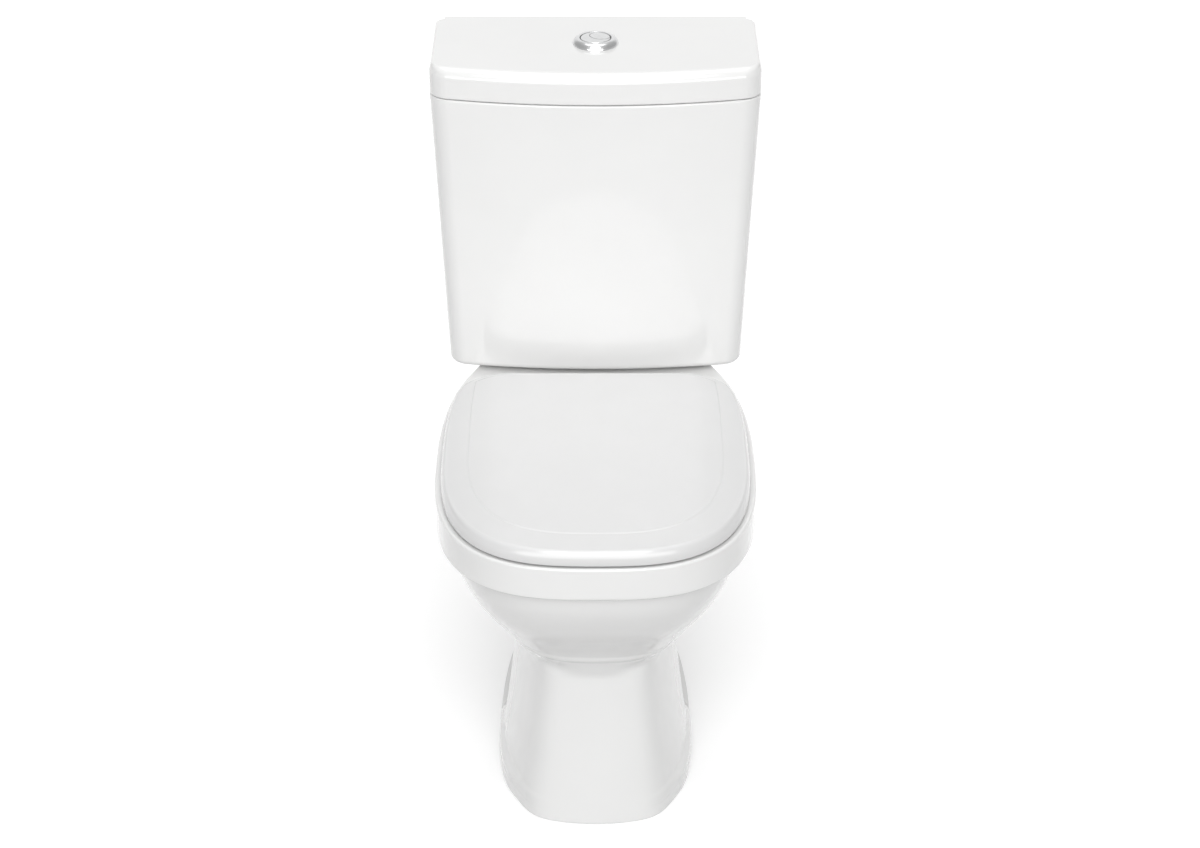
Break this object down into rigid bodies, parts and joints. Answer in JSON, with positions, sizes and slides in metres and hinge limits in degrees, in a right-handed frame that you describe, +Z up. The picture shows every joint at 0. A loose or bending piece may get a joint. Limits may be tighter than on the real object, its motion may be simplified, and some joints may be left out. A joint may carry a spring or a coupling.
{
  "type": "close coupled toilet",
  "caption": "Floor-standing toilet with a close-coupled cistern, hinged seat and lid, and a dual flush button.",
  "frame": {"origin": "on the floor, under the middle of the footprint's bounding box", "axes": "+Z up; +Y towards the wall behind the cistern, so the toilet faces -Y; +X to the right of a person facing the toilet"},
  "size_m": [0.383, 0.642, 0.793],
  "materials": {
    "ceramic": "white glossy glaze",
    "seat_plastic": "white gloss moulded plastic",
    "chrome": "polished",
    "steel": "zinc plated, satin",
    "brass": "machined, satin",
    "white_plastic": "moulded, satin",
    "grey_plastic": "moulded, satin",
    "blue_plastic": "moulded, satin",
    "rubber": "matt black",
    "soft_buffer": "soft translucent white"
  },
  "bodies": {
    "toilet": {"pan": "ceramic", "cistern": "ceramic", "hinge_post_left": "chrome", "hinge_post_right": "chrome", "seat_bolt_left": "steel", "seat_bolt_right": "steel", "coupling_washer_left": "steel", "coupling_washer_right": "steel", "floor_screw_left": "steel", "floor_screw_right": "steel", "coupling_bolt_left": "brass", "coupling_bolt_right": "brass", "coupling_wing_nut_left": "brass", "coupling_wing_nut_right": "brass", "flush_valve_base": "white_plastic", "flush_valve_backnut": "white_plastic", "flush_valve_tower": "white_plastic", "fill_valve_body": "white_plastic", "fill_valve_backnut": "white_plastic", "seat_wing_nut_left": "white_plastic", "seat_wing_nut_right": "white_plastic", "floor_sleeve_left": "white_plastic", "floor_sleeve_right": "white_plastic", "floor_cap_left": "white_plastic", "floor_cap_right": "white_plastic", "fill_valve_head": "grey_plastic", "flush_valve_gasket": "rubber", "coupling_gasket": "rubber", "fill_valve_gasket": "rubber", "seat_washer_left": "rubber", "seat_washer_right": "rubber", "coupling_seal_left": "rubber", "coupling_seal_right": "rubber"},
    "seat": {"seat_ring": "seat_plastic", "seat_buffer_front_left": "soft_buffer", "seat_buffer_front_right": "soft_buffer", "seat_buffer_rear_left": "soft_buffer", "seat_buffer_rear_right": "soft_buffer", "hinge_pin_left": "steel", "hinge_pin_right": "steel"},
    "lid": {"seat_lid": "seat_plastic", "lid_buffer_left": "soft_buffer", "lid_buffer_right": "soft_buffer"},
    "cistern_cover": {"cistern_lid": "ceramic", "button_bezel": "chrome", "button_nut": "white_plastic"},
    "full_button": {"full_flush_button": "chrome", "full_push_rod": "blue_plastic"},
    "half_button": {"half_flush_button": "chrome", "half_push_rod": "white_plastic"},
    "flush_core": {"overflow_tube": "blue_plastic", "valve_seal": "rubber"},
    "float": {"fill_valve_float": "white_plastic"},
    "float_lever": {"float_arm": "grey_plastic"}
  },
  "joints": [
    {"name": "seat_hinge", "type": "hinge", "parent": "toilet", "child": "seat", "pos_m": [0, 0.096, 0.4105], "axis": [-1, 0, 0], "range_deg": [0, 92]},
    {"name": "lid_hinge", "type": "hinge", "parent": "seat", "child": "lid", "pos_m": [0, 0.096, 0.4105], "axis": [1, 0, 0], "range_deg": [-92, 0]},
    {"name": "cistern_lid_lift", "type": "slide", "parent": "toilet", "child": "cistern_cover", "axis": [0, 0, 1], "range_m": [0, 0.15]},
    {"name": "full_button_press", "type": "slide", "parent": "cistern_cover", "child": "full_button", "axis": [0, 0, 1], "range_m": [-0.006, 0], "stiffness_N_per_m": 400, "springref_m": 0.004},
    {"name": "half_button_press", "type": "slide", "parent": "cistern_cover", "child": "half_button", "axis": [0, 0, 1], "range_m": [-0.006, 0], "stiffness_N_per_m": 400, "springref_m": 0.004},
    {"name": "flush_valve_lift", "type": "slide", "parent": "toilet", "child": "flush_core", "axis": [0, 0, 1], "range_m": [0, 0.012]},
    {"name": "float_rise", "type": "slide", "parent": "toilet", "child": "float", "axis": [0, 0, 1], "range_m": [0, 0.035]},
    {"name": "float_lever_pivot", "type": "hinge", "parent": "toilet", "child": "float_lever", "pos_m": [-0.16, 0.216, 0.714], "axis": [0, -1, 0], "range_deg": [0, 56.7]}
  ],
  "couplings": [
    {"joint": "flush_valve_lift", "follows": "full_button_press", "ratio": -2},
    {"joint": "float_lever_pivot", "follows": "float_rise", "rad_per_m": 28.27}
  ]
}
